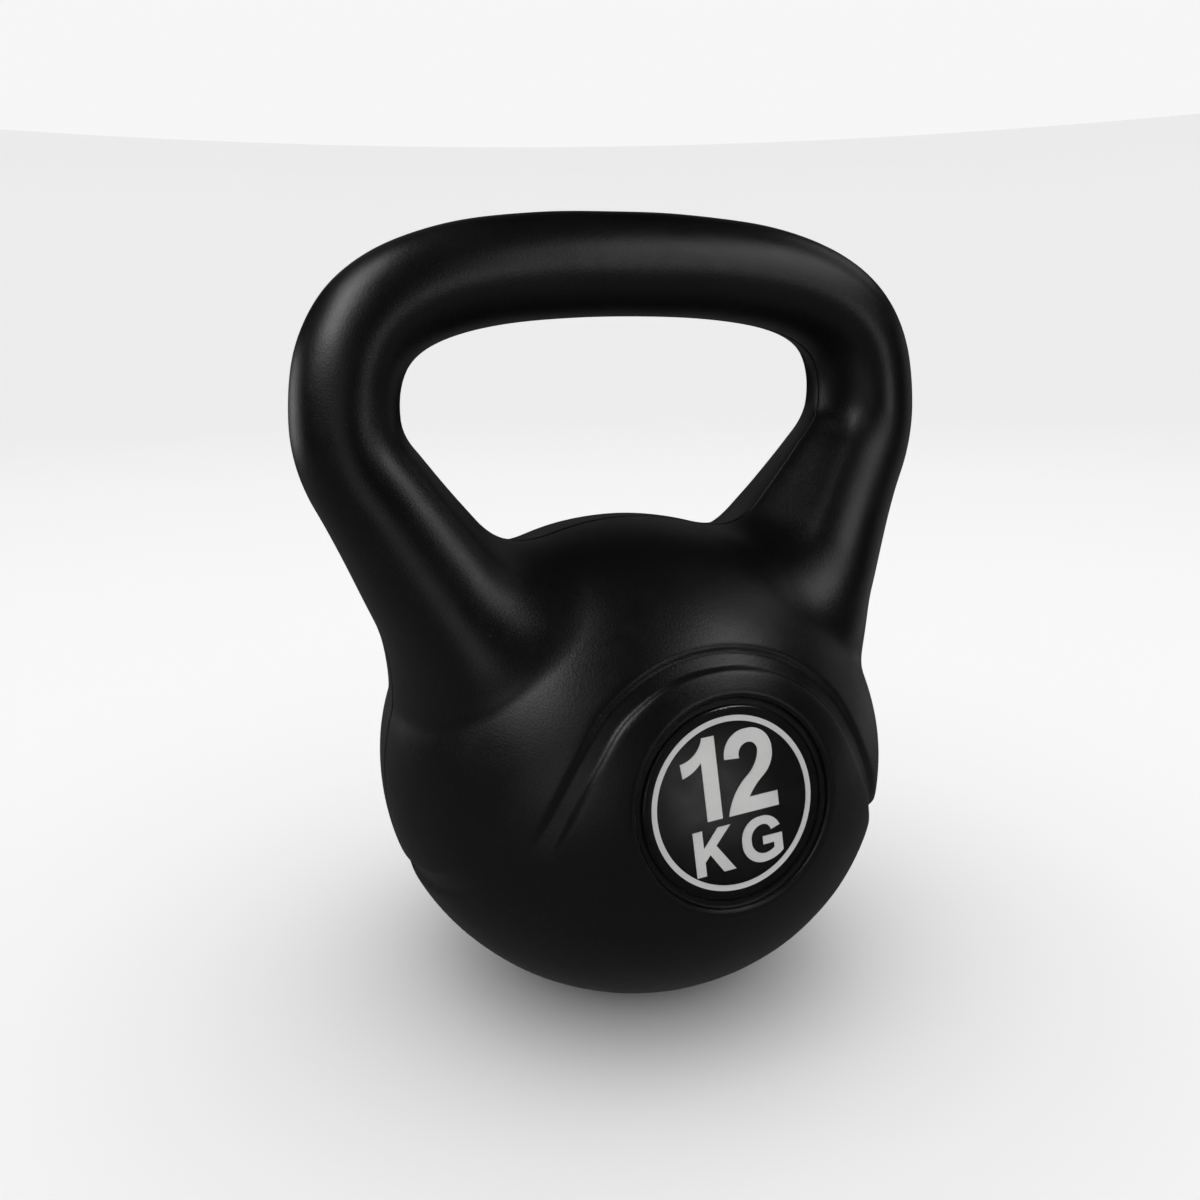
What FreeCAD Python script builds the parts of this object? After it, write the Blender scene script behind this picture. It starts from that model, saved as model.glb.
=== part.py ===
import FreeCAD, Part
import math
import os

from FreeCAD import Matrix, Placement, Rotation, Vector

# A cement-filled kettlebell with a hard plastic skin, standing on its base.
# Millimetres. +Z is up, -Y is the front (the side with the first label), +X is its right.
# The origin is the centre of the flat base.

# Ball
ball_half_width = 99.0
ball_half_depth = 103.0
ball_half_height = 94.0
ball_height = 86.0           # centre of the ball above the base

# Handle: its centre line lies in the plane y = 0 and is the same on both sides
handle_height = 274.0        # centre line at the middle of the grip, above the base
handle_half_span = 105.0     # centre line at the widest place
handle_widest_height = 221.0
grip_reach = 82.0            # how far the grip stays nearly straight
shoulder_rise = 38.0         # how far the side stays nearly upright above the widest place
limb_bend_radius = 40.0
limb_lean = math.radians(31)
limb_root_height = 152.0     # where the centre line meets the ball

# Handle section: half its thickness in the handle's plane, and half its depth along Y
grip_half_thickness = 18.6
grip_half_depth = 18.7
shoulder_half_depth = 25.5
root_half_thickness = 28.6
root_half_depth = 50.0
blend_radius = 24.0          # where the limbs run into the ball
even_flare = 0.45            # share of the limb's flare that grows evenly towards its root
grip_steps = 6               # sections from the middle of the grip to the widest place
limb_steps = 4               # sections from there to the root

# Tail of each limb inside the ball: (way past the root, half thickness, half depth)
limb_tail = [(10.0, 26.0, 44.0), (20.0, 20.0, 34.0), (28.0, 13.0, 22.0)]

# The line where a limb meets the ball lies outside the first value in X, between these heights,
# and is longer than this along Y
seam_nearest_x = 15.0
seam_lowest = 106.0
seam_highest = 196.0
seam_least_depth = 40.0

# Skin
skin = 3.0
base_skin = 4.0

# Filling port and its plug
port_radius = 13.5
port_flange_radius = 17.0
port_flange_depth = 1.6
plug_recess = 0.4
plug_length = 8.0
plug_taper = 1.5

# Reinforcing bar: corners of its route on the right half, each (x, height, bend radius)
bar_radius = 6.0
bar_hook_end = (14.0, 96.0)
bar_corners = [(38.0, 100.0, 22.0), (104.0, 209.0, 40.0), (101.0, 251.0, 26.0), (72.0, 271.0, 40.0)]

# Labels: one on the front and one on the back, each in a round pocket
label_face = 94.2            # from the centre of the ball to the face of the label's dome
label_height = 11.5          # centre of the label above the centre of the ball
label_tilt = 8.5             # degrees that the label looks upward
label_turn = 3.5             # degrees that the print is turned on its disc
label_radius = 33.2
pocket_radius = 35.0
film_thickness = 0.3
print_thickness = 0.2
dome_thickness = 2.0         # film and print included
dome_edge = 1.2
ring_radius = 29.6
ring_width = 1.9

# Figures on the label, a weight over its unit. Each outline starts at a corner (x, y) from the
# label's centre and goes on by (x, y) for a straight side or (x, y, x, y) for an arc through a
# point to a corner.
figure_one = [(-10.0, -4.2), (-4.4, -4.2), (-4.4, 24.0), (-8.9, 24.0), (-11.8, 19.3, -17.6, 16.8),
              (-17.2, 11.9), (-13.3, 13.4, -10.0, 16.0), (-10.0, -4.2)]
figure_two = [(-2.0, -4.3), (16.9, -4.3), (16.9, 0.8), (6.2, 0.8), (8.4, 3.6, 12.2, 7.0),
              (15.5, 11.0, 16.4, 15.6), (13.9, 21.8, 7.6, 24.1), (0.9, 21.6, -1.5, 15.1), (4.0, 14.6),
              (5.0, 18.3, 7.5, 19.4), (10.1, 18.4, 10.9, 15.4), (9.5, 11.7, 6.0, 8.0),
              (0.9, 2.6, -2.0, -4.3)]
unit_k = [(-16.0, -22.2), (-12.5, -22.2), (-12.5, -17.6), (-10.4, -15.4), (-6.0, -22.2), (-1.5, -22.2),
          (-7.9, -12.8), (-2.0, -6.8), (-6.7, -6.8), (-12.5, -13.0), (-12.5, -6.8), (-16.0, -6.8),
          (-16.0, -22.2)]
unit_g = [(16.3, -11.0), (13.8, -7.8, 9.4, -6.7), (3.7, -9.0, 1.7, -14.6), (3.7, -20.2, 9.5, -22.5),
          (13.5, -21.8, 16.9, -19.9), (16.9, -13.8), (9.5, -13.8), (9.5, -16.6), (13.6, -16.6), (13.6, -18.4),
          (11.7, -19.3, 9.6, -19.6), (6.5, -18.2, 5.2, -14.6), (6.4, -11.1, 9.3, -9.6),
          (11.7, -10.1, 12.9, -12.0), (16.3, -11.0)]

cut_reach = 40.0             # how far cutting shapes stand past the surface
block_size = 400.0           # a block larger than the whole kettlebell


def ball(inset):
    """The ball's outer surface, moved inward by the inset."""
    scale = Matrix()
    scale.scale(ball_half_width - inset, ball_half_depth - inset, ball_half_height - inset)
    body = Part.makeSphere(1.0).transformGeometry(scale)
    body.translate(Vector(0, 0, ball_height))
    return body


def handle_stations():
    """Right half of the handle from the middle of the grip into the ball, as a list of
    (point on the centre line, its direction, half thickness, half depth)."""
    top = Part.BezierCurve()
    top.setPoles([Vector(0, 0, handle_height),
                  Vector(grip_reach, 0, handle_height),
                  Vector(handle_half_span, 0, handle_widest_height + shoulder_rise),
                  Vector(handle_half_span, 0, handle_widest_height)])
    stations = []
    for step in range(grip_steps + 1):
        share = step / grip_steps
        ease = share * share * (3 - 2 * share)
        depth = grip_half_depth + (shoulder_half_depth - grip_half_depth) * ease
        stations.append((top.value(share), top.tangent(share)[0], grip_half_thickness, depth))
    bend_centre = Vector(handle_half_span - limb_bend_radius, 0, handle_widest_height)
    bend_length = limb_bend_radius * limb_lean
    outward = Vector(math.cos(limb_lean), 0, -math.sin(limb_lean))
    along = Vector(-math.sin(limb_lean), 0, -math.cos(limb_lean))
    bend_end = bend_centre + outward * limb_bend_radius
    whole = bend_length + (bend_end.z - limb_root_height) / math.cos(limb_lean)
    for step in range(1, limb_steps + 1):
        share = step / limb_steps
        way = whole * share
        angle = min(way, bend_length) / limb_bend_radius
        out = Vector(math.cos(angle), 0, -math.sin(angle))
        direction = Vector(-math.sin(angle), 0, -math.cos(angle))
        point = bend_centre + out * limb_bend_radius + direction * max(0, way - bend_length)
        flare = even_flare * share + (1 - even_flare) * share ** 2
        thickness = grip_half_thickness + (root_half_thickness - grip_half_thickness) * flare
        depth = shoulder_half_depth + (root_half_depth - shoulder_half_depth) * flare
        stations.append((point, direction, thickness, depth))
    root = stations[-1][0]
    for way, thickness, depth in limb_tail:
        stations.append((root + along * way, along, thickness, depth))
    return stations


def handle(inset):
    """The solid handle from deep in the ball on one side to the other, moved inward by the inset."""
    right = handle_stations()
    left = [(Vector(-point.x, 0, point.z), Vector(direction.x, 0, -direction.z), thickness, depth)
            for point, direction, thickness, depth in right[:0:-1]]
    wires = []
    for point, direction, thickness, depth in left + right:
        across = Vector(0, 1, 0).cross(direction)
        oval = Part.Ellipse(point + Vector(0, depth - inset, 0), point + across * (thickness - inset), point)
        wires.append(Part.Wire(oval.toShape()))
    return Part.makeLoft(wires, True, False)


def half_space(height):
    """A block that fills everything below a height."""
    corner = Vector(-block_size / 2, -block_size / 2, height - block_size)
    return Part.makeBox(block_size, block_size, block_size, corner)


def bell(inset, floor):
    """Ball and handle as one solid, moved inward by the inset, with soft joins and a flat floor."""
    whole = ball(inset).fuse(handle(inset))
    seams = []
    for edge in whole.Edges:
        box = edge.BoundBox
        aside = min(abs(box.XMin), abs(box.XMax)) > seam_nearest_x
        at_root = box.ZMin > seam_lowest and box.ZMax < seam_highest
        if aside and at_root and box.YLength > seam_least_depth:
            seams.append(edge)
    soft = whole.makeFillet(blend_radius + inset, seams)
    return soft.cut(half_space(floor))


def label_rotation():
    """Turns the flat drawing of the label upright and tilts it to face the front, looking slightly up."""
    return Rotation(Vector(1, 0, 0), 90 - label_tilt)


def label_offset():
    """How far the label's centre lies up the label's own plane from the line through the ball's centre."""
    tilt = math.radians(label_tilt)
    return (label_height - label_face * math.sin(tilt)) / math.cos(tilt)


def label_disc(radius, low, high):
    """A disc of the front label between two distances from the centre of the ball."""
    outward = label_rotation().multVec(Vector(0, 0, 1))
    upward = label_rotation().multVec(Vector(0, 1, 0))
    start = Vector(0, 0, ball_height) + upward * label_offset() + outward * low
    return Part.makeCylinder(radius, high - low, start, outward)


def on_back(shape):
    """The same shape turned half a turn about the vertical axis."""
    turned = shape.copy()
    turned.rotate(Vector(0, 0, 0), Vector(0, 0, 1), 180)
    return turned


def glyph(outline, low, high):
    """A flat figure from its outline, between two heights."""
    place = Vector(*outline[0], low)
    sides = []
    for step in outline[1:]:
        end = Vector(*step[-2:], low)
        if len(step) == 4:
            sides.append(Part.Arc(place, Vector(*step[:2], low), end).toShape())
        else:
            sides.append(Part.LineSegment(place, end).toShape())
        place = end
    return Part.Face(Part.Wire(sides)).extrude(Vector(0, 0, high - low))


def joined(shapes):
    """Several overlapping solids as one."""
    return shapes[0].multiFuse(shapes[1:]).removeSplitter().Solids[0]


def figures(low, high):
    """The ring, the weight and the unit as thin solids, flat about the origin."""
    ring = Part.makeCylinder(ring_radius, high - low, Vector(0, 0, low))
    ring = ring.cut(Part.makeCylinder(ring_radius - ring_width, high - low, Vector(0, 0, low)))
    return [ring] + [glyph(outline, low, high) for outline in (figure_one, figure_two, unit_k, unit_g)]


def label():
    """Film, print and dome of the front label."""
    floor = label_face - dome_thickness
    film = label_disc(label_radius, floor, floor + film_thickness)
    low = floor + film_thickness
    upright = Placement(Vector(0, 0, ball_height), label_rotation())
    place = upright * Placement(Vector(0, label_offset(), 0), Rotation(Vector(0, 0, 1), label_turn))
    marks = []
    for mark in figures(low, low + print_thickness):
        mark.Placement = place * mark.Placement
        marks.append(mark)
    printed = Part.Compound(marks)
    dome = label_disc(label_radius, low, label_face)
    rim = []
    for edge in dome.Edges:
        if edge.Closed and edge.CenterOfMass.y < film.CenterOfMass.y - dome_thickness / 2:
            rim.append(edge)
    dome = dome.makeFillet(dome_edge, rim)
    for mark in marks:
        dome = dome.cut(mark)
    return film, printed, dome


def fill_plug():
    """The press-in plug of the filling port, with its flange just inside the base."""
    flange = Part.makeCylinder(port_flange_radius, port_flange_depth - plug_recess, Vector(0, 0, plug_recess))
    stem = Part.makeCylinder(port_radius, base_skin - port_flange_depth, Vector(0, 0, port_flange_depth))
    tip_length = plug_length - base_skin
    tip = Part.makeCone(port_radius, port_radius - plug_taper, tip_length, Vector(0, 0, base_skin))
    return joined([flange, stem, tip])


def port():
    """The filling port: a stepped hole through the base."""
    step = Part.makeCylinder(port_flange_radius, port_flange_depth)
    return joined([step, Part.makeCylinder(port_radius, base_skin)])


def rounded_route(corners):
    """A wire through corners given as (point, radius): straight runs with a tangent arc at each."""
    edges = []
    last = corners[0][0]
    for index in range(1, len(corners) - 1):
        point, radius = corners[index]
        back = (corners[index - 1][0] - point).normalize()
        ahead = (corners[index + 1][0] - point).normalize()
        half_turn = (math.pi - back.getAngle(ahead)) / 2
        reach = radius * math.tan(half_turn)
        start = point + back * reach
        end = point + ahead * reach
        bisector = (back + ahead).normalize()
        crown = point + bisector * (radius / math.cos(half_turn) - radius)
        edges.append(Part.LineSegment(last, start).toShape())
        edges.append(Part.Arc(start, crown, end).toShape())
        last = end
    edges.append(Part.LineSegment(last, corners[-1][0]).toShape())
    return Part.Wire(edges)


def handle_bar():
    """The bent steel bar: up one limb, across the grip and down the other, hooked at both ends."""
    right = [(Vector(bar_hook_end[0], 0, bar_hook_end[1]), 0.0)]
    for x, height, radius in bar_corners:
        right.append((Vector(x, 0, height), radius))
    left = [(Vector(-point.x, 0, point.z), radius) for point, radius in right]
    route = rounded_route(right + left[::-1])
    start = right[0][0]
    section = Part.Wire(Part.Circle(start, right[1][0] - start, bar_radius).toShape())
    return route.makePipeShell([section], True, False)


def save(shape, name):
    """Write one piece, and show its volume and whether it is sound."""
    shape.exportStep("parts/" + name + ".step")
    print(name, "solids", len(shape.Solids), "valid", shape.isValid(), "volume", round(shape.Volume))


def build():
    """Make every piece and write it."""
    os.makedirs("parts", exist_ok=True)
    floor = label_face - dome_thickness
    pockets = []
    bosses = []
    for group, inset in ((pockets, 0), (bosses, skin)):
        front = label_disc(pocket_radius + inset, floor - inset, floor + cut_reach)
        group.append(front)
        group.append(on_back(front))
    outer = bell(0, 0)
    cavity = bell(skin, base_skin)
    for boss in bosses:
        cavity = cavity.cut(boss)
    shell = outer.cut(cavity)
    for hollow in pockets + [port()]:
        shell = shell.cut(hollow)
    bar = handle_bar()
    plug = fill_plug()
    fill = cavity.cut(bar).cut(plug)
    save(shell.Solids[0], "shell")
    save(fill.Solids[0], "concrete_fill")
    save(bar, "handle_bar")
    save(plug, "fill_plug")
    for name, piece in zip(("film", "print", "dome"), label()):
        save(piece, "front_label_" + name)
        save(on_back(piece), "rear_label_" + name)


build()
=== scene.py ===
import math

import bmesh
import bpy
import numpy as np
from mathutils import Matrix, Vector


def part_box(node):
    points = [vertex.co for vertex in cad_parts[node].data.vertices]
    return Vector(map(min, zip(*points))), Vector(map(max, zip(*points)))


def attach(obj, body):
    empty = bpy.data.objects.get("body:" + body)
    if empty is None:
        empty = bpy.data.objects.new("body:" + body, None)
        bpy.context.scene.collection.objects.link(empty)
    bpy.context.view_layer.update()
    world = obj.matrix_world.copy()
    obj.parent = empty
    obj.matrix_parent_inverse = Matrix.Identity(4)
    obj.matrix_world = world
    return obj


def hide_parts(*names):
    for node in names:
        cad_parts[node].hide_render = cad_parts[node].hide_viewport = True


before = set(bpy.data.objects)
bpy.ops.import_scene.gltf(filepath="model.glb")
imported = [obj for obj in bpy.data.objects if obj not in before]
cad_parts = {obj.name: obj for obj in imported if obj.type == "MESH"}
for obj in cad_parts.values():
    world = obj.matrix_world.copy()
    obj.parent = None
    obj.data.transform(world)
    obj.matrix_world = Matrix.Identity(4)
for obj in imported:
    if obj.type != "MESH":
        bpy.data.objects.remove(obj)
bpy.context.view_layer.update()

# Shapes are worked out in millimetres, in the frame's axes: +Z up, -Y out of the front label.
MM = 0.001
shell_low, shell_high = (np.array(corner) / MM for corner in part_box("shell"))

# Ball
BALL_CENTRE = np.array([0.0, 0.0, 86.0])
BALL_HALF = np.array([99.0, 103.0, 94.0])
BASE_EDGE = 7.0              # roundness of the edge of the flat base

# Handle: half sections and centre line, on the side where x is positive
GRIP_HALF = 18.6
SHOULDER_HALF_DEPTH = 25.5
ROOT_HALF = 28.8
ROOT_HALF_DEPTH = 52.5
GRIP_HEIGHT = shell_high[2] - GRIP_HALF
HALF_SPAN = shell_high[0] - GRIP_HALF
WIDEST_HEIGHT = 221.0
GRIP_REACH = 82.0            # pull of the grip's straight run on the shoulder's curve
SHOULDER_RISE = 38.0         # pull of the limb's upright run on it
LIMB_BEND = 40.0             # radius in which the limb turns inward
LIMB_LEAN = math.radians(31)
ROOT_HEIGHT = 152.5
FLARE_LEAD = 14.0            # how far above the widest place the limb starts to flare
FLARE_EASE = 0.5             # share of the flare that eases off towards the ball
TAIL = 32.0                  # how far past the ball's surface the limb closes
TAIL_FULLNESS = 1.1
TAIL_SOFTNESS = 0.25
LEAST_HALF = 5.0
BLEND = 19.4                 # how softly the limbs run into the ball

# The table of the handle's centre line
SHOULDER_SAMPLES = 2000
BEND_SAMPLES = 400
LINE_STEP = 0.25
HEADING_SOFTNESS = 13.0      # how far along the line its direction is evened out, either way
COARSE = 24                  # table rows between the places that a search starts from
FOOT_ROUNDS = 4
LEAST_RATE = 0.25            # keeps a search's moves short inside a tight bend

# Details of the skin
POCKET_RADIUS = 35.4
POCKET_EDGE = 3.2            # roundness of the lip of a label's pocket
POCKET_CORNER = 0.8          # and of the corner at its floor
FILM_HALF = 0.15             # half the thickness of the label film
PORT_RADIUS = 17.15
PORT_DEPTH = 8.2
PORT_EDGE = 0.8
PARTING_HALF_WIDTH = 0.5
PARTING_DEPTH = 0.45
PARTING_START = (2, 8)       # heights between which the parting line fades in
WAVE_DEPTH = 0.1             # slight moulding waves
WAVE_START = (6, 14)         # heights between which the waves fade in
WAVE_PAST_LABEL = 12.0       # and how far outside a label's pocket they are full

# The inner side of each limb is nearly flat: from its middle to an edge at these shares of the
# section's half thickness and half depth, between these heights
EDGE_INWARD = 0.68
EDGE_ACROSS = 0.74
EDGE_ROUNDING = 2.2
FACE_ROUNDING = 3.0          # softness of the face's middle line
FACE_LIFT = 4.0              # how far the face moves clear of the oval where it fades out
FLAT_TOP = 262.0
FLAT_TOP_FADE = 76.0
FLAT_FOOT = 136.0
FLAT_FOOT_FADE = 26.0

# Centre line of the channel beside the front label: (longitude, latitude) on the ball in degrees,
# longitude 0 at the front and growing to the right. The back has the same channel, half a turn on.
CHANNEL = [(-40, -3), (-34, 9), (-30, 17), (-24, 26.5), (-13, 33.7), (0, 35.9), (12, 34), (21, 29.3),
           (28, 22), (32, 14), (37, 4.5), (46, -7), (62, -15.5), (88, -20.5), (111, -16.5), (127, -9)]
CHANNEL_FADE_IN = 22.0
CHANNEL_FADE_OUT = 48.0
CHANNEL_HALF_WIDTH = 3.7
CHANNEL_DEPTH = 1.8
CHANNEL_WALL_POWER = 7       # how steep the channel's walls are
CHANNEL_REACH = 12.0         # how far from its line the channel is looked for
CHANNEL_ON_BALL = (4, 10)    # distances from the ball between which it fades out
CHANNEL_SAMPLES = 600
CHANNEL_POINTS = 900
CHANNEL_BATCH = 20000

# Mesh
GRID_STEP = 2.25
GRID_MARGIN = 2              # cells
GRID_BATCH = 150000
BOX_MARGIN = 2.0
RELAX_ROUNDS = 4
FINAL_RELAX_ROUNDS = 2
PROJECT_ROUNDS = 3
RELAX_SHARE = 0.6            # how far a corner moves towards the mean of its neighbours
PROBE = 0.03                 # how far apart a distance is measured to find its slope
LEAST_SLOPE = 0.3
LONGEST_MOVE = 2.0

# How near to a detail the mesh is made finer, once and then once more
PARTING_NEAR, PARTING_CLOSE = 2.4, 1.2
LIP_NEAR, LIP_CLOSE = 5.0, 2.6
LIP_LOWEST, LIP_CLOSE_LOWEST = -4.0, -2.0    # height over the label's film
PORT_NEAR = 4.0
PORT_HIGHEST = 9.0
LIMB_EDGE_NEAR = 4.0
CHANNEL_NEAR = 0.04          # depth of channel that counts


def label_axes():
    """Centre of the front label's face, its outward direction and its upward direction."""
    low, high = (np.array(corner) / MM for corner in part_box("front_label_film"))
    rise = high[2] - low[2]
    lean = high[1] - low[1]
    tilt = math.atan2(lean, rise)
    outward = np.array([0.0, -math.cos(tilt), math.sin(tilt)])
    upward = np.array([0.0, math.sin(tilt), math.cos(tilt)])
    return (low + high) / 2, outward, upward


LABEL_CENTRE, LABEL_OUT, LABEL_UP = label_axes()
LABEL_RADIUS = (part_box("front_label_film")[1].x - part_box("front_label_film")[0].x) / 2 / MM


# ---- Distances: negative inside the kettlebell ----

def smoothstep(low, high, value):
    share = np.clip((value - low) / (high - low), 0, 1)
    return share * share * (3 - 2 * share)


def soft_min(first, second, softness):
    share = np.clip(0.5 + 0.5 * (second - first) / softness, 0, 1)
    return second + (first - second) * share - softness * share * (1 - share)


def soft_max(first, second, softness):
    return -soft_min(-first, -second, softness)


def oval_distance(across, halves):
    """Distance from an ellipsoid or an ellipse, close to exact near its surface."""
    scaled = np.sqrt(sum((part / half) ** 2 for part, half in zip(across, halves)))
    slope = np.sqrt(sum((part / half ** 2) ** 2 for part, half in zip(across, halves))) + 1e-9
    return scaled * (scaled - 1) / slope


def handle_line():
    """The handle's centre line from the middle of the grip into the ball. One row for each step
    along it: point (x, z), direction, rate of turning, half thickness and half depth."""
    share = np.linspace(0, 1, SHOULDER_SAMPLES)[:, None]
    poles = np.array([[0, GRIP_HEIGHT], [GRIP_REACH, GRIP_HEIGHT],
                      [HALF_SPAN, WIDEST_HEIGHT + SHOULDER_RISE], [HALF_SPAN, WIDEST_HEIGHT]])
    top = (poles[0] * (1 - share) ** 3 + poles[1] * 3 * (1 - share) ** 2 * share
           + poles[2] * 3 * (1 - share) * share ** 2 + poles[3] * share ** 3)
    angle = np.linspace(0, LIMB_LEAN, BEND_SAMPLES)[1:, None]
    bend_centre = np.array([HALF_SPAN - LIMB_BEND, WIDEST_HEIGHT])
    bend = bend_centre + LIMB_BEND * np.hstack([np.cos(angle), -np.sin(angle)])
    run = (bend[-1, 1] - ROOT_HEIGHT) / math.cos(LIMB_LEAN) + TAIL
    straight = bend[-1] - run * np.array([[math.sin(LIMB_LEAN), math.cos(LIMB_LEAN)]])
    points = np.vstack([top, bend, straight])
    way = np.append(0, np.cumsum(np.linalg.norm(np.diff(points, axis=0), axis=1)))
    widest = way[len(top) - 1]
    even = np.arange(0, way[-1], LINE_STEP)
    line = np.column_stack([np.interp(even, way, part) for part in points.T])
    reach = int(HEADING_SOFTNESS / LINE_STEP)
    soften = np.hanning(2 * reach + 3)[1:-1]
    soften = soften / soften.sum()
    longer = np.pad(line, ((reach, reach), (0, 0)), mode="reflect", reflect_type="odd")
    heading = np.gradient(longer, axis=0)
    heading = np.column_stack([np.convolve(part, soften, mode="valid") for part in heading.T])
    heading /= np.linalg.norm(heading, axis=1)[:, None]
    turning = np.gradient(heading, LINE_STEP, axis=0)
    upper = smoothstep(0, widest, even)
    lower = np.clip((even - widest + FLARE_LEAD) / (way[-1] - TAIL - widest + FLARE_LEAD), 0, None)
    flare = (1 + FLARE_EASE) * lower ** 2 - FLARE_EASE * lower ** 3
    thickness = GRIP_HALF + (ROOT_HALF - GRIP_HALF) * flare
    depth = (GRIP_HALF + (SHOULDER_HALF_DEPTH - GRIP_HALF) * upper
             + (ROOT_HALF_DEPTH - SHOULDER_HALF_DEPTH) * flare)
    past = np.clip((even - way[-1] + TAIL) / TAIL, 0, 1)
    close = TAIL_FULLNESS * np.sqrt(1 - past ** 2)
    thickness = ROOT_HALF * soft_min(thickness / ROOT_HALF, close, TAIL_SOFTNESS)
    depth = ROOT_HALF_DEPTH * soft_min(depth / ROOT_HALF_DEPTH, close, TAIL_SOFTNESS)
    halves = np.maximum(np.column_stack([thickness, depth]), LEAST_HALF)
    return np.column_stack([line, heading, turning, halves])


HANDLE = handle_line()


def table_row(place):
    """The handle's table read between its rows."""
    index = np.minimum(place.astype(int), len(HANDLE) - 2)
    share = (place - index)[:, None]
    return HANDLE[index] * (1 - share) + HANDLE[index + 1] * share


def handle_foot(points):
    """The place on the handle's centre line beside each point, as a row of its table. Then how far
    the point lies from the line in the handle's plane: counted outward, and as a plain length."""
    flat = np.column_stack([np.abs(points[:, 0]), points[:, 2]])
    sparse = HANDLE[::COARSE, :2]
    gaps = (flat ** 2).sum(1)[:, None] - 2 * flat @ sparse.T + (sparse ** 2).sum(1)[None]
    place = gaps.argmin(1).astype(float) * COARSE
    for _ in range(FOOT_ROUNDS):
        row = table_row(place)
        offset = flat - row[:, :2]
        along = (offset * row[:, 2:4]).sum(1)
        rate = np.maximum(1 - (offset * row[:, 4:6]).sum(1), LEAST_RATE)
        move = np.clip(along / rate / LINE_STEP, -COARSE, COARSE)
        place = np.clip(place + move, 0, len(HANDLE) - 1)
    row = table_row(place)
    offset = flat - row[:, :2]
    outward = row[:, 2] * offset[:, 1] - row[:, 3] * offset[:, 0]
    return row, outward, np.linalg.norm(offset, axis=1)


def handle_distance(points):
    """Distance from the handle without the ball: its oval section, cut by the limbs' inner faces."""
    row, outward, inplane = handle_foot(points)
    thickness, depth = row[:, 6], row[:, 7]
    oval = oval_distance((inplane, points[:, 1]), (thickness, depth))
    slant = np.arctan2((1 - EDGE_INWARD) * thickness, EDGE_ACROSS * depth)
    across = np.sqrt(points[:, 1] ** 2 + FACE_ROUNDING ** 2) - FACE_ROUNDING
    face = (-outward - thickness) * np.cos(slant) + across * np.sin(slant)
    height = points[:, 2]
    share = (smoothstep(FLAT_FOOT, FLAT_FOOT + FLAT_FOOT_FADE, height)
             * (1 - smoothstep(FLAT_TOP - FLAT_TOP_FADE, FLAT_TOP, height)))
    return soft_max(oval, face - FACE_LIFT * (1 - share), EDGE_ROUNDING)


def label_distance(points):
    """Distance from the axis of the front label, and height over the middle of its film."""
    local = points - LABEL_CENTRE
    return np.hypot(local[:, 0], local @ LABEL_UP), local @ LABEL_OUT


def body_distance(points):
    """Ball, handle, flat base, label pockets and filling port, without the fine detail."""
    ball = oval_distance((points - BALL_CENTRE).T, BALL_HALF)
    body = soft_min(ball, handle_distance(points), BLEND)
    body = soft_max(body, -points[:, 2], BASE_EDGE)
    for half_turn in (1, -1):
        radius, height = label_distance(points * (half_turn, half_turn, 1))
        pocket = soft_max(radius - POCKET_RADIUS, -height - FILM_HALF, POCKET_CORNER)
        body = soft_max(body, -pocket, POCKET_EDGE)
    port = np.maximum(np.hypot(points[:, 0], points[:, 1]) - PORT_RADIUS, points[:, 2] - PORT_DEPTH)
    return soft_max(body, -port, PORT_EDGE)


def channel_line():
    """The channel's centre line on the ball: points evenly spaced, directions, shares of the depth,
    and the spacing."""
    degrees = np.array(CHANNEL, float)
    corners = len(degrees)
    place = np.linspace(0, corners - 1, CHANNEL_SAMPLES)
    index = np.clip(place.astype(int), 0, corners - 2)
    share = (place - index)[:, None]
    before = degrees[np.maximum(index - 1, 0)]
    first, last = degrees[index], degrees[index + 1]
    after = degrees[np.minimum(index + 2, corners - 1)]
    smooth = 0.5 * (2 * first + (last - before) * share
                    + (2 * before - 5 * first + 4 * last - after) * share ** 2
                    + (3 * first - before - 3 * last + after) * share ** 3)
    lon, lat = np.radians(smooth).T
    unit = np.column_stack([np.cos(lat) * np.sin(lon), -np.cos(lat) * np.cos(lon), np.sin(lat)])
    reach = 1 / np.linalg.norm(unit / BALL_HALF, axis=1)
    points = BALL_CENTRE + unit * reach[:, None]
    way = np.append(0, np.cumsum(np.linalg.norm(np.diff(points, axis=0), axis=1)))
    even = np.linspace(0, way[-1], CHANNEL_POINTS)
    line = np.column_stack([np.interp(even, way, part) for part in points.T])
    heading = np.gradient(line, even, axis=0)
    heading /= np.linalg.norm(heading, axis=1)[:, None]
    deep = smoothstep(0, CHANNEL_FADE_IN, even) * smoothstep(0, CHANNEL_FADE_OUT, way[-1] - even)
    return line, heading, deep, even[1]


CHANNEL_LINE, CHANNEL_HEADING, CHANNEL_DEEP, CHANNEL_STEP = channel_line()


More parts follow.
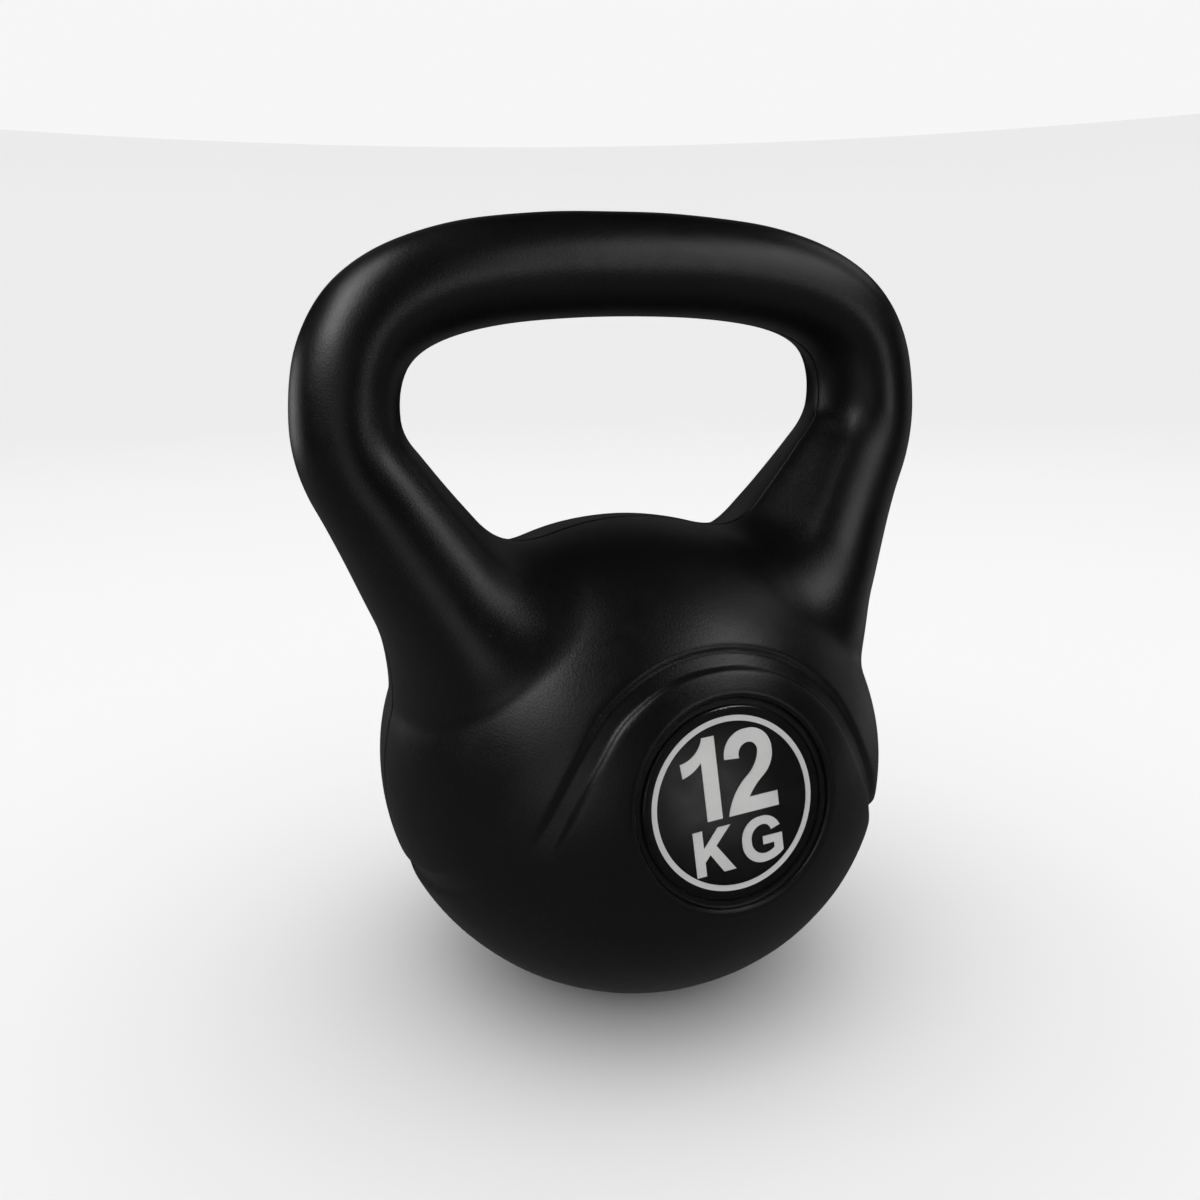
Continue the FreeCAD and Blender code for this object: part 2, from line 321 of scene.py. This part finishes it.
def channel_depth(points):
    """How deep the front channel is at points near the ball's surface."""
    depth = np.zeros(len(points))
    low = CHANNEL_LINE.min(0) - CHANNEL_REACH
    high = CHANNEL_LINE.max(0) + CHANNEL_REACH
    near = np.flatnonzero(((points > low) & (points < high)).all(1))
    for part in np.array_split(near, max(1, len(near) // CHANNEL_BATCH)):
        here = points[part]
        gaps = ((here ** 2).sum(1)[:, None] - 2 * here @ CHANNEL_LINE.T
                + (CHANNEL_LINE ** 2).sum(1)[None])
        best = gaps.argmin(1)
        offset = here - CHANNEL_LINE[best]
        along = (offset * CHANNEL_HEADING[best]).sum(1)
        offset -= along[:, None] * CHANNEL_HEADING[best]
        deep = np.interp(best + along / CHANNEL_STEP, np.arange(len(CHANNEL_DEEP)), CHANNEL_DEEP)
        outward = (here - BALL_CENTRE) / BALL_HALF ** 2
        outward /= np.linalg.norm(outward, axis=1)[:, None]
        offset -= (offset * outward).sum(1)[:, None] * outward
        across = np.linalg.norm(offset, axis=1) / CHANNEL_HALF_WIDTH
        depth[part] = CHANNEL_DEPTH * deep / (1 + across ** CHANNEL_WALL_POWER)
    return depth


def skin_distance(points):
    """The whole outer surface with its channels, parting line and slight moulding waves."""
    ball = oval_distance((points - BALL_CENTRE).T, BALL_HALF)
    on_ball = 1 - smoothstep(*CHANNEL_ON_BALL, np.abs(ball))
    skin = body_distance(points)
    for half_turn in (1, -1):
        skin = skin + channel_depth(points * (half_turn, half_turn, 1)) * on_ball
    x, y, z = points.T
    skin = skin + PARTING_DEPTH * np.exp(-(y / PARTING_HALF_WIDTH) ** 2) * smoothstep(*PARTING_START, z)
    wave = (np.sin(x / 9.1 + 0.6) * np.sin(y / 10.7 + 1.1) * np.sin(z / 11.9 + 0.4)
            + 0.6 * np.sin(x / 6.3 + z / 13.1 + 2.0) * np.sin(y / 7.7 - z / 8.9))
    radius = np.minimum(label_distance(points)[0], label_distance(points * (-1, -1, 1))[0])
    calm = smoothstep(*WAVE_START, z) * smoothstep(POCKET_RADIUS, POCKET_RADIUS + WAVE_PAST_LABEL, radius)
    return skin + WAVE_DEPTH * wave * calm


def slope(points, distance):
    """Direction in which a distance grows fastest, with its rate."""
    corners = np.array([(1, -1, -1), (-1, -1, 1), (-1, 1, -1), (1, 1, 1)]) * PROBE
    total = sum(corner * distance(points + corner)[:, None] for corner in corners)
    return total / (4 * PROBE ** 2)


def onto_skin(points, distance, rounds):
    """Points moved onto the surface where the distance is zero."""
    for _ in range(rounds):
        rate = slope(points, distance)
        step = distance(points) / np.maximum((rate ** 2).sum(1), LEAST_SLOPE)
        points = points - rate * np.clip(step, -LONGEST_MOVE, LONGEST_MOVE)[:, None]
    return points


# ---- Mesh making ----

def grid_axis(low, high):
    """Grid positions whose cells are centred on zero, so that symmetry is kept."""
    below = math.ceil(-low / GRID_STEP) + GRID_MARGIN
    above = math.ceil(high / GRID_STEP) + GRID_MARGIN
    return GRID_STEP * (np.arange(-below, above + 1) + 0.5)


def surface_net(distance, low, high):
    """Quads round the zero surface of a distance, one corner in each grid cell that it crosses."""
    axes = [grid_axis(*ends) for ends in zip(low, high)]
    corners = np.stack(np.meshgrid(*axes, indexing="ij"), -1)
    flat = corners.reshape(-1, 3)
    parts = np.array_split(flat, max(1, len(flat) // GRID_BATCH))
    values = np.concatenate([distance(part) for part in parts]).reshape(corners.shape[:3])
    inside = values < 0
    cells = tuple(size - 1 for size in values.shape)
    total = np.zeros(cells + (3,))
    count = np.zeros(cells)

    def shifted(array, offset):
        return array[tuple(slice(o, o + size) for o, size in zip(offset, cells))]

    for axis in range(3):
        others = [other for other in range(3) if other != axis]
        for first in (0, 1):
            for second in (0, 1):
                start = [0, 0, 0]
                start[others[0]], start[others[1]] = first, second
                end = list(start)
                end[axis] = 1
                a, b = shifted(values, start), shifted(values, end)
                crossed = shifted(inside, start) != shifted(inside, end)
                share = np.where(crossed, a / np.where(crossed, a - b, 1), 0)
                total[..., axis] += share
                total[..., others[0]] += first * crossed
                total[..., others[1]] += second * crossed
                count += crossed
    used = count > 0
    names = np.full(cells, -1)
    names[used] = np.arange(used.sum())
    base = np.stack(np.meshgrid(*(line[:-1] for line in axes), indexing="ij"), -1)[used]
    points = base + GRID_STEP * total[used] / count[used][:, None]
    quads = []
    for axis in range(3):
        one, two = [other for other in range(3) if other != axis]
        start = [slice(1, size) for size in cells]
        start[axis] = slice(0, cells[axis])
        end = list(start)
        end[axis] = slice(1, cells[axis] + 1)
        leaves = inside[tuple(start)] & ~inside[tuple(end)]
        enters = ~inside[tuple(start)] & inside[tuple(end)]
        ring = []
        for step_one, step_two in ((1, 1), (0, 1), (0, 0), (1, 0)):
            where = [slice(0, size) for size in cells]
            where[one] = slice(1 - step_one, cells[one] - step_one)
            where[two] = slice(1 - step_two, cells[two] - step_two)
            ring.append(names[tuple(where)])
        ring = np.stack(ring, -1)
        ahead, back = (leaves, enters) if axis != 1 else (enters, leaves)
        quads += [ring[ahead], ring[back][:, ::-1]]
    return points, np.concatenate(quads)


def relax(points, pairs, distance, rounds):
    """Corners spread more evenly over the surface, given the pairs of corners that share an edge."""
    pairs = np.concatenate([pairs, pairs[:, ::-1]])
    count = np.bincount(pairs[:, 0], minlength=len(points))[:, None]
    for _ in range(rounds):
        total = [np.bincount(pairs[:, 0], weights=part, minlength=len(points))
                 for part in points[pairs[:, 1]].T]
        mean = np.column_stack(total) / count
        points = onto_skin(points + RELAX_SHARE * (mean - points), distance, 1)
    return points


def mesh_points(mesh):
    """A mesh's corners in millimetres."""
    flat = np.empty(len(mesh.vertices) * 3)
    mesh.vertices.foreach_get("co", flat)
    return flat.reshape(-1, 3) / MM


def refine(mesh, wanted, distance):
    """Edges split where both their ends are wanted, and the new corners laid on the surface."""
    mask = wanted(mesh_points(mesh))
    bm = bmesh.new()
    bm.from_mesh(mesh)
    bm.verts.ensure_lookup_table()
    edges = [edge for edge in bm.edges if mask[edge.verts[0].index] and mask[edge.verts[1].index]]
    bmesh.ops.subdivide_edges(bm, edges=edges, cuts=1, use_grid_fill=True)
    bm.to_mesh(mesh)
    bm.free()
    points = onto_skin(mesh_points(mesh), distance, 2)
    mesh.vertices.foreach_set("co", (points * MM).ravel())


def near_detail(points):
    """Places with a channel, a pocket's lip, the parting line, the filling port or a limb's edge."""
    near = np.abs(points[:, 1]) < PARTING_NEAR
    near |= (points[:, 2] < PORT_HIGHEST) & (np.hypot(points[:, 0], points[:, 1]) < PORT_RADIUS + PORT_NEAR)
    for half_turn in (1, -1):
        here = points * (half_turn, half_turn, 1)
        radius, height = label_distance(here)
        near |= (np.abs(radius - POCKET_RADIUS) < LIP_NEAR) & (height > LIP_LOWEST)
        near |= channel_depth(here) > CHANNEL_NEAR
    row, outward, _ = handle_foot(points)
    angle = np.arctan2(np.abs(points[:, 1]) / row[:, 7], -outward / row[:, 6])
    at_edge = np.abs(angle - math.atan2(EDGE_ACROSS, EDGE_INWARD)) * row[:, 7] < LIMB_EDGE_NEAR
    return near | (at_edge & (points[:, 2] > FLAT_FOOT) & (points[:, 2] < FLAT_TOP))


def near_line(points):
    """Places with the parting line or a pocket's lip."""
    near = np.abs(points[:, 1]) < PARTING_CLOSE
    for half_turn in (1, -1):
        radius, height = label_distance(points * (half_turn, half_turn, 1))
        near |= (np.abs(radius - POCKET_RADIUS) < LIP_CLOSE) & (height > LIP_CLOSE_LOWEST)
    return near


def make_object(name, data):
    piece = bpy.data.objects.new(name, data)
    bpy.context.scene.collection.objects.link(piece)
    return piece


def make_skin():
    """The moulded skin as one fine mesh."""
    low = np.array([shell_low[0], -BALL_HALF[1], 0]) - BOX_MARGIN
    high = np.array([shell_high[0], BALL_HALF[1], shell_high[2]]) + BOX_MARGIN
    points, quads = surface_net(body_distance, low, high)
    points = onto_skin(points, body_distance, PROJECT_ROUNDS)
    sides = np.concatenate([quads[:, [i, (i + 1) % 4]] for i in range(4)])
    points = relax(points, sides, body_distance, RELAX_ROUNDS)
    points = onto_skin(points, skin_distance, PROJECT_ROUNDS)
    mesh = bpy.data.meshes.new("moulded_skin")
    mesh.from_pydata((points * MM).tolist(), [], quads.tolist())
    refine(mesh, near_detail, skin_distance)
    refine(mesh, near_line, skin_distance)
    edges = np.empty(len(mesh.edges) * 2, int)
    mesh.edges.foreach_get("vertices", edges)
    points = relax(mesh_points(mesh), edges.reshape(-1, 2), skin_distance, FINAL_RELAX_ROUNDS)
    mesh.vertices.foreach_set("co", (points * MM).ravel())
    mesh.shade_smooth()
    normals = slope(mesh_points(mesh), skin_distance)
    normals /= np.linalg.norm(normals, axis=1)[:, None]
    mesh.normals_split_custom_set_from_vertices(normals.tolist())
    return make_object("moulded_skin", mesh)


# ---- Materials ----

class Shader:
    """A material's node tree with short ways to add and join nodes. Scales are per metre."""

    def __init__(self, name):
        self.material = bpy.data.materials.new(name)
        self.material.use_nodes = True
        self.nodes = self.material.node_tree.nodes
        self.links = self.material.node_tree.links
        self.main = self.nodes["Principled BSDF"]
        self.output = self.nodes["Material Output"]
        self.place = self.add("ShaderNodeTexCoord").outputs["Object"]

    def add(self, kind, **settings):
        node = self.nodes.new(kind)
        for key, value in settings.items():
            setattr(node, key, value)
        return node

    def join(self, source, target):
        self.links.new(source, target)

    def noise(self, scale, detail=2.0, rough=0.5):
        node = self.add("ShaderNodeTexNoise")
        node.inputs["Scale"].default_value = scale
        node.inputs["Detail"].default_value = detail
        node.inputs["Roughness"].default_value = rough
        self.join(self.place, node.inputs["Vector"])
        return node.outputs["Fac"]

    def cells(self, scale, feature="F1"):
        node = self.add("ShaderNodeTexVoronoi", feature=feature)
        node.inputs["Scale"].default_value = scale
        self.join(self.place, node.inputs["Vector"])
        return node.outputs["Distance"]

    def spread(self, source, low, high, to_low=0.0, to_high=1.0):
        """A value between two limits, spread between two others."""
        node = self.add("ShaderNodeMapRange")
        sockets = ("From Min", "From Max", "To Min", "To Max")
        for socket, value in zip(sockets, (low, high, to_low, to_high)):
            node.inputs[socket].default_value = value
        self.join(source, node.inputs["Value"])
        return node.outputs["Result"]

    def math(self, operation, first, second):
        node = self.add("ShaderNodeMath", operation=operation)
        for socket, value in zip(node.inputs, (first, second)):
            if isinstance(value, (int, float)):
                socket.default_value = value
            else:
                self.join(value, socket)
        return node.outputs["Value"]

    def blend_colour(self, factor, first, second):
        """A blend of two colours: given ones, or another node's."""
        node = self.add("ShaderNodeMix", data_type="RGBA")
        self.join(factor, node.inputs["Factor"])
        first_colour, second_colour, result = 6, 7, 2
        for socket, value in ((first_colour, first), (second_colour, second)):
            if isinstance(value, tuple):
                node.inputs[socket].default_value = (*value, 1)
            else:
                self.join(value, node.inputs[socket])
        return node.outputs[result]

    def bump(self, height, strength, distance):
        node = self.add("ShaderNodeBump")
        node.inputs["Strength"].default_value = strength
        node.inputs["Distance"].default_value = distance
        self.join(height, node.inputs["Height"])
        self.join(node.outputs["Normal"], self.main.inputs["Normal"])


def black_plastic():
    """Satin black moulded polyethylene with a fine leather grain and a few pale specks."""
    shader = Shader("black_plastic")
    main = shader.main
    main.inputs["Specular IOR Level"].default_value = 0.5
    grain = shader.cells(1300, feature="SMOOTH_F1")
    fine = shader.noise(2600, detail=3)
    shader.bump(shader.math("ADD", shader.math("MULTIPLY", grain, 0.8), fine), 0.2, 0.00025)
    mottle = shader.noise(22, detail=3)
    cloud = shader.noise(160, detail=4, rough=0.6)
    rough = shader.math("ADD", shader.spread(mottle, 0.3, 0.7, 0.31, 0.38),
                        shader.spread(cloud, 0.3, 0.7, -0.02, 0.03))
    shader.join(rough, main.inputs["Roughness"])
    specks = shader.spread(shader.noise(520, detail=1), 0.79, 0.84)
    tone = shader.blend_colour(shader.spread(mottle, 0.3, 0.7),
                               (0.0020, 0.0020, 0.0020), (0.0032, 0.0031, 0.0029))
    tone = shader.blend_colour(specks, tone, (0.014, 0.0135, 0.013))
    shader.join(tone, main.inputs["Base Color"])
    return shader.material


def plug_plastic():
    """Plain matt black plastic of the plug."""
    shader = Shader("plug_plastic")
    shader.main.inputs["Specular IOR Level"].default_value = 0.4
    shader.bump(shader.noise(1800, detail=3), 0.1, 0.0002)
    shader.join(shader.spread(shader.noise(90), 0.3, 0.7, 0.48, 0.62), shader.main.inputs["Roughness"])
    tone = shader.blend_colour(shader.noise(60), (0.012, 0.012, 0.012), (0.022, 0.022, 0.021))
    shader.join(tone, shader.main.inputs["Base Color"])
    return shader.material


def label_film():
    """Printed black film under the dome."""
    shader = Shader("label_film_black")
    shader.main.inputs["Specular IOR Level"].default_value = 0.2
    shader.join(shader.spread(shader.noise(120), 0.3, 0.7, 0.3, 0.42), shader.main.inputs["Roughness"])
    tone = shader.blend_colour(shader.noise(70), (0.004, 0.004, 0.0045), (0.007, 0.007, 0.0075))
    shader.join(tone, shader.main.inputs["Base Color"])
    return shader.material


def label_print():
    """Off-white screen-printed ink."""
    shader = Shader("label_print_white")
    shader.main.inputs["Specular IOR Level"].default_value = 0.2
    shader.join(shader.spread(shader.noise(300), 0.3, 0.7, 0.45, 0.6), shader.main.inputs["Roughness"])
    tone = shader.blend_colour(shader.noise(500, detail=4), (0.88, 0.88, 0.87), (0.92, 0.92, 0.91))
    shader.join(tone, shader.main.inputs["Base Color"])
    return shader.material


def clear_gel():
    """Clear glossy gel: seen through, with a mirror-like surface that grows towards grazing angles."""
    shader = Shader("label_clear_gel")
    clear = shader.add("ShaderNodeBsdfTransparent")
    clear.inputs["Color"].default_value = (0.97, 0.97, 0.97, 1)
    gloss = shader.add("ShaderNodeBsdfGlossy")
    shader.join(shader.spread(shader.noise(140, detail=3), 0.3, 0.7, 0.16, 0.24), gloss.inputs["Roughness"])
    ripple = shader.add("ShaderNodeBump")
    ripple.inputs["Strength"].default_value = 0.25
    ripple.inputs["Distance"].default_value = 0.0006
    shader.join(shader.noise(55, detail=1), ripple.inputs["Height"])
    shader.join(ripple.outputs["Normal"], gloss.inputs["Normal"])
    fresnel = shader.add("ShaderNodeFresnel")
    fresnel.inputs["IOR"].default_value = 1.45
    shader.join(ripple.outputs["Normal"], fresnel.inputs["Normal"])
    both = shader.add("ShaderNodeMixShader")
    shader.join(fresnel.outputs["Fac"], both.inputs["Fac"])
    shader.join(clear.outputs["BSDF"], both.inputs[1])
    shader.join(gloss.outputs["BSDF"], both.inputs[2])
    shader.join(both.outputs["Shader"], shader.output.inputs["Surface"])
    return shader.material


def cement():
    """Rough grey cement with sand grains and pores."""
    shader = Shader("cast_cement")
    grains = shader.cells(700)
    lumps = shader.noise(60, detail=6, rough=0.65)
    shader.bump(shader.math("ADD", grains, lumps), 0.5, 0.001)
    shader.join(shader.spread(lumps, 0.3, 0.7, 0.8, 0.95), shader.main.inputs["Roughness"])
    tone = shader.blend_colour(lumps, (0.24, 0.23, 0.22), (0.42, 0.41, 0.39))
    shader.join(shader.blend_colour(shader.spread(grains, 0.3, 0.1), tone, (0.3, 0.27, 0.22)),
                shader.main.inputs["Base Color"])
    return shader.material


def bar_steel():
    """Hot-rolled steel bar with mill scale and a little rust."""
    shader = Shader("bar_steel")
    shader.main.inputs["Metallic"].default_value = 0.9
    scale = shader.noise(90, detail=5, rough=0.6)
    shader.bump(scale, 0.3, 0.0004)
    shader.join(shader.spread(scale, 0.3, 0.7, 0.4, 0.7), shader.main.inputs["Roughness"])
    tone = shader.blend_colour(shader.spread(scale, 0.55, 0.75), (0.16, 0.155, 0.15), (0.20, 0.09, 0.045))
    shader.join(tone, shader.main.inputs["Base Color"])
    return shader.material


def paper_floor():
    """Pale seamless studio sweep."""
    shader = Shader("studio_sweep")
    shader.main.inputs["Specular IOR Level"].default_value = 0.1
    shader.main.inputs["Roughness"].default_value = 0.9
    tone = shader.blend_colour(shader.noise(3), (0.925, 0.925, 0.925), (0.935, 0.935, 0.935))
    shader.join(tone, shader.main.inputs["Base Color"])
    return shader.material


def dress(name, material):
    """A material on every slot of an object."""
    piece = bpy.data.objects[name]
    if not piece.material_slots:
        piece.data.materials.append(material)
    for place in piece.material_slots:
        place.material = material


# ---- Label dome ----

def ring_faces(rings, segments):
    """Quads between rings of corners that follow each other."""
    faces = []
    for ring in range(rings - 1):
        here = ring * segments
        for segment in range(segments):
            after = (segment + 1) % segments
            faces.append([here + segment, here + after, here + segments + after, here + segments + segment])
    return faces


def make_dome(name, half_turn):
    """A poured gel dome: flat underneath, a full round edge and a slight crown. Its underside lies
    inside the film, and its sides start just within the film's rim."""
    top = 1.85
    edge = 1.5
    underside = -0.2
    rim = 0.15
    crown_power = 2.5
    steps = 8
    segments = 128
    profile = [(LABEL_RADIUS - rim, underside)]
    for step in range(steps + 1):
        angle = math.pi / 2 * step / steps
        profile.append((LABEL_RADIUS - edge + edge * math.cos(angle), rim + (edge - rim) * math.sin(angle)))
    crown = top - edge
    for step in range(1, steps):
        share = step / steps
        profile.append(((LABEL_RADIUS - edge) * (1 - share), edge + crown * (1 - (1 - share) ** crown_power)))
    sideways = np.array([1.0, 0.0, 0.0])
    points = []
    start = LABEL_CENTRE + LABEL_OUT * FILM_HALF
    for radius, height in profile:
        for segment in range(segments):
            angle = 2 * math.pi * segment / segments
            points.append(start + LABEL_OUT * height
                          + radius * (sideways * math.cos(angle) + LABEL_UP * math.sin(angle)))
    points.append(start + LABEL_OUT * top)
    points = np.array(points) * (half_turn, half_turn, 1)
    faces = [list(range(segments))[::-1]] + ring_faces(len(profile), segments)
    last = (len(profile) - 1) * segments
    for segment in range(segments):
        faces.append([last + segment, last + (segment + 1) % segments, len(points) - 1])
    mesh = bpy.data.meshes.new(name)
    mesh.from_pydata((points * MM).tolist(), [], faces)
    mesh.shade_smooth()
    return make_object(name, mesh)


# ---- Stage, light and camera ----

CAMERA_AZIMUTH = math.radians(22.6)      # to the left of the front
CAMERA_ELEVATION = math.radians(21.0)
CAMERA_DISTANCE = 455.0                  # from the centre of the ball
CAMERA_ROLL = math.radians(0.33)
SENSOR_WIDTH = 36.0                      # as the lens, in the camera's own millimetres
LENS = 33.0
# Where the centre of the ball appears beside the middle of the view, for each unit of distance ahead
BALL_TO_RIGHT = 0.0239
BALL_BELOW = 0.1301


def make_camera():
    """The photograph's view of the object."""
    back = Vector((-math.sin(CAMERA_AZIMUTH) * math.cos(CAMERA_ELEVATION),
                   -math.cos(CAMERA_AZIMUTH) * math.cos(CAMERA_ELEVATION), math.sin(CAMERA_ELEVATION)))
    forward = -back
    right = forward.cross(Vector((0, 0, 1))).normalized()
    look = Matrix((right, right.cross(forward), forward))
    aim = Vector((BALL_TO_RIGHT, -BALL_BELOW, 1))
    turn = Vector((0, 0, 1)).rotation_difference(aim).to_matrix()
    rows = turn @ Matrix.Rotation(CAMERA_ROLL, 3, "Z") @ look
    axes = Matrix((rows[0], rows[1], -rows[2])).transposed().to_4x4()
    data = bpy.data.cameras.new("camera")
    data.sensor_width = SENSOR_WIDTH
    data.lens = LENS
    camera = make_object("camera", data)
    camera.matrix_world = Matrix.Translation(Vector(BALL_CENTRE * MM) + back * CAMERA_DISTANCE * MM) @ axes
    bpy.context.scene.camera = camera


LIGHT_TARGET = Vector((0, 0, 0.13))      # metres

# What a softbox reaches: everything but the pieces kept unlit, or only the floor or the label domes
away_from_floor = bpy.data.collections.new("away_from_floor")
away_from_labels = bpy.data.collections.new("away_from_labels")
only_floor = bpy.data.collections.new("only_floor")
only_labels = bpy.data.collections.new("only_labels")


def keep_unlit(piece, group):
    """Keeps the lights that use a group off a piece."""
    group.objects.link(piece)
    group.collection_objects[-1].light_linking.link_state = "EXCLUDE"


def make_stage():
    """A wide flat floor that curves up at its rim, in metres. Of the softboxes only the overhead one
    reaches it, and reflections don't show it."""
    near, flat, wall, rise = 0.4, 3.0, 7.0, 1.4
    steps, segments = 16, 96
    profile = [(0.0, 0.0), (near, 0.0), (flat, 0.0)]
    for step in range(1, steps + 1):
        angle = math.pi / 2 * step / steps
        profile.append((flat + (wall - flat) * math.sin(angle), rise * (1 - math.cos(angle))))
    points = []
    for radius, height in profile:
        for segment in range(segments):
            angle = 2 * math.pi * segment / segments
            points.append((radius * math.cos(angle), radius * math.sin(angle), height))
    mesh = bpy.data.meshes.new("studio_floor")
    mesh.from_pydata(points, [], ring_faces(len(profile), segments))
    mesh.shade_smooth()
    mesh.materials.append(paper_floor())
    sweep = make_object("studio_floor", mesh)
    sweep.visible_glossy = False
    keep_unlit(sweep, away_from_floor)
    keep_unlit(sweep, away_from_labels)
    only_floor.objects.link(sweep)


def softbox(name, azimuth, elevation, distance, size, radiance, reaches=away_from_floor):
    """A rectangular softbox facing the object, in degrees and metres: azimuth 0 is in front and 90 to
    the right."""
    across, up = math.radians(azimuth), math.radians(elevation)
    toward = Vector((math.sin(across) * math.cos(up), -math.cos(across) * math.cos(up), math.sin(up)))
    data = bpy.data.lights.new(name, "AREA")
    data.shape = "RECTANGLE"
    data.size, data.size_y = size
    data.energy = radiance * math.pi * size[0] * size[1]
    light = make_object(name, data)
    light.light_linking.receiver_collection = reaches
    light.location = LIGHT_TARGET + toward * distance
    light.rotation_mode = "QUATERNION"
    light.rotation_quaternion = (-toward).to_track_quat("-Z", "Y")
    return light


def make_lights():
    """An even world that reflections don't show, softboxes, and the light the floor throws back."""
    just_above_floor = 0.0004
    world = bpy.data.worlds.new("studio_world")
    world.use_nodes = True
    sky = world.node_tree.nodes["Background"]
    sky.inputs["Color"].default_value = (1, 1, 1, 1)
    sky.inputs["Strength"].default_value = 0.925
    world.cycles_visibility.glossy = False
    bpy.context.scene.world = world
    softbox("left_key", -89, 44, 0.62, (0.26, 0.24), 3.5)
    softbox("left_upper", -110, 58, 0.62, (0.26, 0.24), 2.1)
    softbox("left_wide", -80, 30, 0.62, (0.46, 0.2), 1.1)
    softbox("left_fill", -60, 42, 1.3, (0.6, 0.5), 0.3)
    softbox("left_front", -42, 8, 1.3, (0.6, 0.6), 0.25)
    softbox("left_near", -50, 0, 0.34, (0.14, 0.12), 0.4)
    softbox("left_back", -144, 4, 1.3, (0.5, 0.4), 1.0)
    softbox("right_key", 62, 48, 0.6, (0.2, 0.2), 1.5)
    softbox("right_near", 36, 47, 0.34, (0.15, 0.15), 1.5)
    softbox("right_front", 22, 14, 0.6, (0.16, 0.22), 1.8, away_from_labels)
    softbox("right_back", 110, 38, 1.3, (0.5, 0.36), 0.6)
    softbox("rim_right", 100, 0, 1.3, (1.0, 0.8), 0.16)
    softbox("rim_back", 165, 20, 1.4, (1.2, 0.8), 0.08)
    softbox("label_cloud", 19, -9, 0.62, (0.08, 0.08), 1.9, only_labels)
    softbox("label_rim", 33, 48, 0.34, (0.12, 0.1), 7.0, only_labels)
    softbox("overhead", 0, 90, 2.3, (2.2, 2.2), 0.6, only_floor)
    bounce = softbox("floor_bounce", 0, -90, 1, (1.8, 1.8), 0.085, away_from_labels)
    bounce.location = (0, 0, just_above_floor)


bpy.context.scene.view_settings.view_transform = "Standard"
make_camera()
make_stage()
make_lights()

skin = make_skin()
skin.data.materials.append(black_plastic())
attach(skin, "root")
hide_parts("shell")

gel = clear_gel()
film = label_film()
ink = label_print()
for side, half_turn in (("front", 1), ("rear", -1)):
    dome = make_dome(side + "_gel_dome", half_turn)
    dome.data.materials.append(gel)
    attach(dome, "root")
    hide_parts(side + "_label_dome")
    keep_unlit(dome, away_from_labels)
    only_labels.objects.link(dome)
    dress(side + "_label_film", film)
    dress(side + "_label_print", ink)
dress("concrete_fill", cement())
dress("handle_bar", bar_steel())
dress("fill_plug", plug_plastic())
